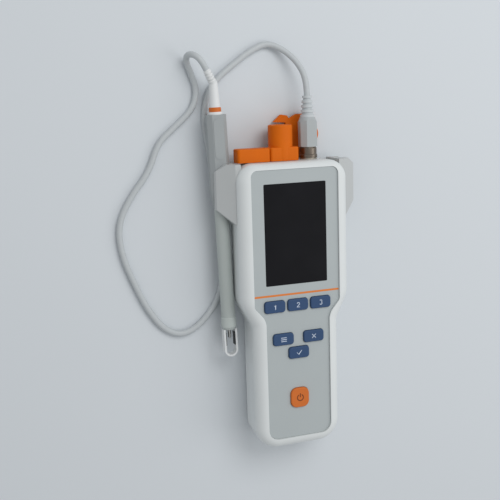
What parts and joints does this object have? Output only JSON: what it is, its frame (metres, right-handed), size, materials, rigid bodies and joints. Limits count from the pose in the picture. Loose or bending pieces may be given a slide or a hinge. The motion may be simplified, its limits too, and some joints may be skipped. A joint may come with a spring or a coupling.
{
  "type": "conductivity meter",
  "caption": "Handheld meter with a waisted case, screen and keys, a corded probe clipped to its side and rubber-capped sockets at the top.",
  "frame": {"origin": "centre of the flat back, which the meter lies on", "axes": "+X to the right of the face, +Y to the end with the sockets, +Z out of the face"},
  "size_m": [0.2012, 0.3368, 0.0434],
  "materials": {
    "case": "fine-textured off-white moulding",
    "panel": "smooth grey printed panel",
    "window": "clear hard lens over a dark screen",
    "glass": "dark display glass",
    "light": "white light guide",
    "tin": "bent sheet",
    "board": "green printed board",
    "silicone": "soft translucent sheet",
    "blue_key": "soft-touch blue key",
    "orange_key": "soft-touch orange key",
    "cell": "wrapped battery cell; its density stands for the cell's",
    "contact": "nickel-plated spring",
    "screw": "plated screw",
    "socket": "plated connector shell",
    "cap": "orange rubber cap",
    "holder": "grey moulded holder",
    "grip": "grey moulded handle",
    "stem": "grey-green stem",
    "white_part": "white moulding",
    "ring": "orange ring",
    "plate": "black cell plate",
    "pin": "steel sensor pin",
    "cord": "light grey flexible sheath",
    "plug": "grey overmoulded plug",
    "dark_metal": "dark plated collar"
  },
  "bodies": {
    "meter": {"front_cover": "case", "rear_cover": "case", "face_panel": "panel", "display_window": "window", "display_glass": "glass", "backlight": "light", "display_frame": "tin", "main_board": "board", "key_mat": "silicone", "battery_cells": "cell", "battery_contacts": "contact", "case_screws": "screw", "holder_screws": "screw", "board_screws": "screw", "power_socket": "socket", "aux_socket": "socket", "probe_socket": "socket", "socket_nuts": "socket", "probe_holder": "holder"},
    "key_one_body": {"key_one": "blue_key"},
    "key_two_body": {"key_two": "blue_key"},
    "key_three_body": {"key_three": "blue_key"},
    "key_left_body": {"key_left": "blue_key"},
    "key_right_body": {"key_right": "blue_key"},
    "key_enter_body": {"key_enter": "blue_key"},
    "power_key_body": {"power_key": "orange_key"},
    "battery_cover_body": {"battery_cover": "case"},
    "cap_left_body": {"cap_left": "cap"},
    "cap_middle_body": {"cap_middle": "cap"},
    "open_cap_body": {"open_cap": "cap"},
    "electrode": {"probe_handle": "grip", "probe_stem": "stem", "stem_tip": "grip", "cell_guard": "grip", "cell_plates": "plate", "temperature_sensor": "pin", "handle_collar": "white_part", "probe_ring": "ring", "probe_boot": "white_part", "cord": "cord", "plug_collar": "dark_metal", "plug_body": "plug", "plug_boot": "plug", "plug_insert": "plate"}
  },
  "joints": [
    {"name": "key_one_press", "type": "slide", "parent": "meter", "child": "key_one_body", "axis": [0, 0, -1], "range_m": [0, 0.001], "stiffness_N_per_m": 500, "springref_m": -0.001},
    {"name": "key_two_press", "type": "slide", "parent": "meter", "child": "key_two_body", "axis": [0, 0, -1], "range_m": [0, 0.001], "stiffness_N_per_m": 500, "springref_m": -0.001},
    {"name": "key_three_press", "type": "slide", "parent": "meter", "child": "key_three_body", "axis": [0, 0, -1], "range_m": [0, 0.001], "stiffness_N_per_m": 500, "springref_m": -0.001},
    {"name": "key_left_press", "type": "slide", "parent": "meter", "child": "key_left_body", "axis": [0, 0, -1], "range_m": [0, 0.001], "stiffness_N_per_m": 500, "springref_m": -0.001},
    {"name": "key_right_press", "type": "slide", "parent": "meter", "child": "key_right_body", "axis": [0, 0, -1], "range_m": [0, 0.001], "stiffness_N_per_m": 500, "springref_m": -0.001},
    {"name": "key_enter_press", "type": "slide", "parent": "meter", "child": "key_enter_body", "axis": [0, 0, -1], "range_m": [0, 0.001], "stiffness_N_per_m": 500, "springref_m": -0.001},
    {"name": "power_key_press", "type": "slide", "parent": "meter", "child": "power_key_body", "axis": [0, 0, -1], "range_m": [0, 0.001], "stiffness_N_per_m": 500, "springref_m": -0.001},
    {"name": "battery_cover_slide", "type": "slide", "parent": "meter", "child": "battery_cover_body", "axis": [0, -1, 0], "range_m": [0, 0.03]},
    {"name": "cap_left_hinge", "type": "hinge", "parent": "meter", "child": "cap_left_body", "pos_m": [-0.0285, 0.1203, 0.014], "axis": [-1, 0, 0], "range_deg": [0, 80]},
    {"name": "cap_middle_pull", "type": "slide", "parent": "meter", "child": "cap_middle_body", "axis": [0, 1, 0], "range_m": [0, 0.03]},
    {"name": "open_cap_hinge", "type": "hinge", "parent": "meter", "child": "open_cap_body", "pos_m": [0.014, 0.121, 0.0044], "axis": [1, 0, 0], "range_deg": [-2.5, 3]},
    {"name": "probe_slide", "type": "slide", "parent": "meter", "child": "electrode", "axis": [-0.0291, 0.9996, 0], "range_m": [0, 0.055]}
  ]
}
